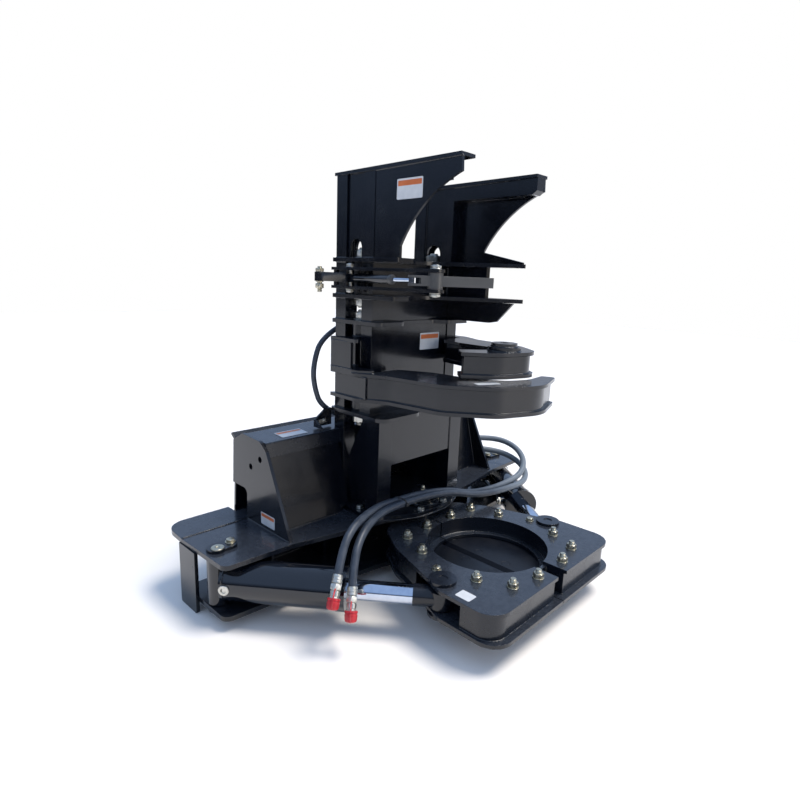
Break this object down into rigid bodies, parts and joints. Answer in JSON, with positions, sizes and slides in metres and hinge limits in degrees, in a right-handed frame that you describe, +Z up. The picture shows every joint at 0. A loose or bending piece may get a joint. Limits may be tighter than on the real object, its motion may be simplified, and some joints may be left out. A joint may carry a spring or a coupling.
{
  "type": "tree shear",
  "caption": "Machine-mounted tree shear with two bladed jaws under a mast that holds the trunk with a pair of grapple arms and an upper finger arm.",
  "frame": {"origin": "under the middle of the outer box, at the level of the lowest face", "axes": "+Z up along the mast, -Y towards the jaws, +Y towards the machine, +X to the right seen from the machine"},
  "size_m": [1.644, 1.11, 1.464],
  "materials": {
    "black_paint": "gloss black paint",
    "grey_paint": "worn grey-black paint",
    "chrome": "hard chrome",
    "zinc": "zinc plate",
    "blade_steel": "ground steel",
    "hose_rubber": "wrapped rubber cover",
    "cap_red": "moulded rubber"
  },
  "bodies": {
    "frame": {"arm_bolts": "zinc", "arm_ceiling_plate": "black_paint", "arm_floor_plate": "black_paint", "base_pins": "black_paint", "centre_doubler": "black_paint", "coupler_caps": "cap_red", "couplers": "zinc", "deck_plate": "black_paint", "deck_rear_plate": "black_paint", "deck_spine_wall": "black_paint", "doubler_bolts": "zinc", "end_plate_left": "black_paint", "end_plate_right": "black_paint", "front_post_left": "black_paint", "front_post_right": "black_paint", "hitch_plate": "black_paint", "horn_left": "black_paint", "horn_right": "black_paint", "hose_left": "hose_rubber", "hose_ports": "zinc", "hose_right": "hose_rubber", "housing_panel_left": "black_paint", "housing_panel_right": "black_paint", "housing_side_left": "black_paint", "housing_side_right": "black_paint", "housing_top_cover": "black_paint", "lower_deck": "black_paint", "main_pin": "black_paint", "mast_foot": "black_paint", "mast_front_web": "black_paint", "rear_fittings": "zinc", "rear_hose": "hose_rubber", "rear_post_left": "black_paint", "rear_post_right": "black_paint", "shelf_box_web": "black_paint", "shelf_lower": "black_paint", "shelf_upper": "black_paint", "upper_bay_web": "black_paint", "upper_bolts": "zinc"},
    "left_jaw": {"jaw_left": "black_paint", "blade_left": "blade_steel", "jaw_studs_left": "zinc"},
    "right_jaw": {"jaw_right": "black_paint", "blade_right": "blade_steel", "jaw_studs_right": "zinc"},
    "left_barrel": {"jaw_barrel_left": "black_paint"},
    "right_barrel": {"jaw_barrel_right": "black_paint"},
    "left_rod": {"jaw_rod_left": "chrome", "jaw_pin_left": "black_paint"},
    "right_rod": {"jaw_rod_right": "chrome", "jaw_pin_right": "black_paint"},
    "left_arm": {"arm_left": "black_paint"},
    "right_arm": {"arm_right": "black_paint"},
    "link_barrel": {"arm_barrel": "black_paint"},
    "link_rod": {"arm_rod": "chrome"},
    "upper_arm": {"upper_arm": "black_paint", "upper_arm_bolts": "zinc"},
    "finger": {"finger": "grey_paint"},
    "ram_barrel": {"finger_ram_barrel": "grey_paint"},
    "ram_rod": {"finger_ram_rod": "chrome"}
  },
  "joints": [
    {"name": "left_jaw_swing", "type": "hinge", "parent": "frame", "child": "left_jaw", "pos_m": [0, 0.07, 0.141], "axis": [0, 0, -1], "range_deg": [0, 24]},
    {"name": "right_jaw_swing", "type": "hinge", "parent": "frame", "child": "right_jaw", "pos_m": [0, 0.07, 0.141], "axis": [0, 0, 1], "range_deg": [0, 24]},
    {"name": "left_cylinder_swing", "type": "hinge", "parent": "frame", "child": "left_barrel", "pos_m": [-0.772, 0.255, 0.137], "axis": [0, 0, 1], "range_deg": [-1, 1]},
    {"name": "left_rod_slide", "type": "slide", "parent": "left_barrel", "child": "left_rod", "axis": [0.6274, -0.7787, 0], "range_m": [-0.2065, 0]},
    {"name": "right_cylinder_swing", "type": "hinge", "parent": "frame", "child": "right_barrel", "pos_m": [0.772, 0.255, 0.137], "axis": [0, 0, -1], "range_deg": [-1, 1]},
    {"name": "right_rod_slide", "type": "slide", "parent": "right_barrel", "child": "right_rod", "axis": [-0.6274, -0.7787, 0], "range_m": [-0.2065, 0]},
    {"name": "left_arm_swing", "type": "hinge", "parent": "frame", "child": "left_arm", "pos_m": [-0.19, 0.233, 0.78], "axis": [0, 0, -1], "range_deg": [0, 36]},
    {"name": "right_arm_swing", "type": "hinge", "parent": "frame", "child": "right_arm", "pos_m": [0.19, 0.233, 0.78], "axis": [0, 0, 1], "range_deg": [0, 36.5]},
    {"name": "link_barrel_pivot", "type": "hinge", "parent": "left_arm", "child": "link_barrel", "pos_m": [-0.14, 0.285, 0.835], "axis": [0, 0, 1], "range_deg": [0, 36.5]},
    {"name": "link_rod_slide", "type": "slide", "parent": "link_barrel", "child": "link_rod", "axis": [1, 0, 0], "range_m": [-0.0465, 0]},
    {"name": "upper_arm_swing", "type": "hinge", "parent": "frame", "child": "upper_arm", "pos_m": [-0.19, 0.233, 1.1], "axis": [0, 0, -1], "range_deg": [0, 36.5]},
    {"name": "finger_swing", "type": "hinge", "parent": "upper_arm", "child": "finger", "pos_m": [-0.218, -0.13, 1.1], "axis": [0, 0, -1], "range_deg": [0, 35]},
    {"name": "ram_barrel_pivot", "type": "hinge", "parent": "upper_arm", "child": "ram_barrel", "pos_m": [-0.272, 0.211, 1.1], "axis": [0, 0, 1], "range_deg": [0, 7.5]},
    {"name": "ram_rod_slide", "type": "slide", "parent": "ram_barrel", "child": "ram_rod", "axis": [-0.0101, -0.9999, 0], "range_m": [-0.0256, 0]}
  ],
  "couplings": [
    {"joint": "left_cylinder_swing", "follows": "left_jaw_swing", "ratio": -0.0128},
    {"joint": "left_rod_slide", "follows": "left_jaw_swing", "m_per_rad": -0.4908},
    {"joint": "right_cylinder_swing", "follows": "right_jaw_swing", "ratio": -0.0128},
    {"joint": "right_rod_slide", "follows": "right_jaw_swing", "m_per_rad": -0.4908},
    {"joint": "right_arm_swing", "follows": "left_arm_swing", "ratio": 1},
    {"joint": "link_barrel_pivot", "follows": "left_arm_swing", "ratio": 1},
    {"joint": "link_rod_slide", "follows": "left_arm_swing", "m_per_rad": -0.0736},
    {"joint": "upper_arm_swing", "follows": "left_arm_swing", "ratio": 1},
    {"joint": "ram_barrel_pivot", "follows": "finger_swing", "ratio": 0.1939},
    {"joint": "ram_rod_slide", "follows": "finger_swing", "m_per_rad": -0.0406}
  ]
}
